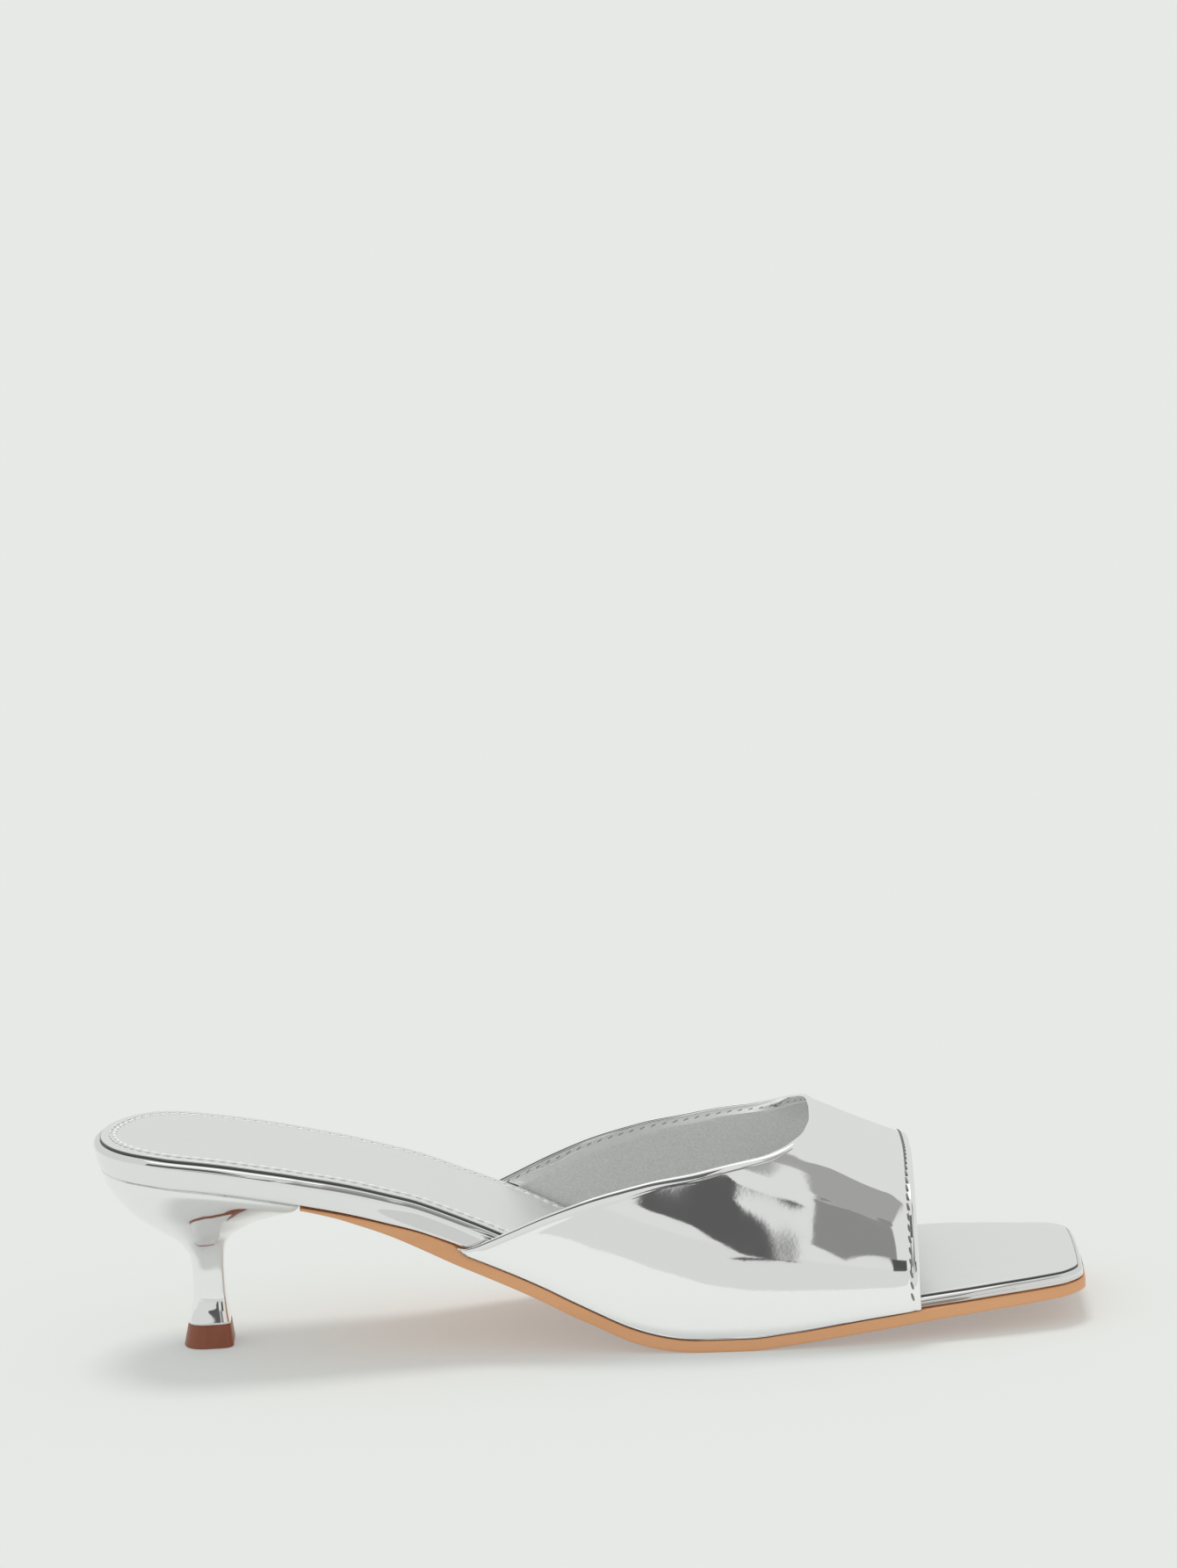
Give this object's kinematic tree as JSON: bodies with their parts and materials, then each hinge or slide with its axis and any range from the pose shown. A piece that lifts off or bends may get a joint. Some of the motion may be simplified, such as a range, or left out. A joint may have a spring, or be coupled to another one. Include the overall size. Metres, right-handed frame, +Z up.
{
  "type": "high heel slide sandal",
  "caption": "Square-toe kitten-heel mule: a wide vamp over a sloping footbed with a rolled edge, a thin outsole and a slim flared heel.",
  "frame": {"origin": "on the floor, under the centre of the shoe's bounding box", "axes": "+X from heel to toe, +Y to the outer (little toe) side, +Z up"},
  "size_m": [0.2399, 0.078, 0.0548],
  "materials": {
    "outsole": "smooth tan leather-board with a sealed edge",
    "footbed": "silver mirror leather wrapped round the board",
    "sock": "satin silver leather with a stitched border",
    "upper": "silver mirror leather, very glossy, soft creases",
    "heel": "moulded heel with a bright silver plated skin",
    "top_piece": "dense brown rubber tip"
  },
  "bodies": {
    "root": {"outsole": "outsole", "footbed": "footbed", "insole_sock": "sock", "upper": "upper", "heel": "heel", "top_piece": "top_piece"}
  },
  "joints": []
}
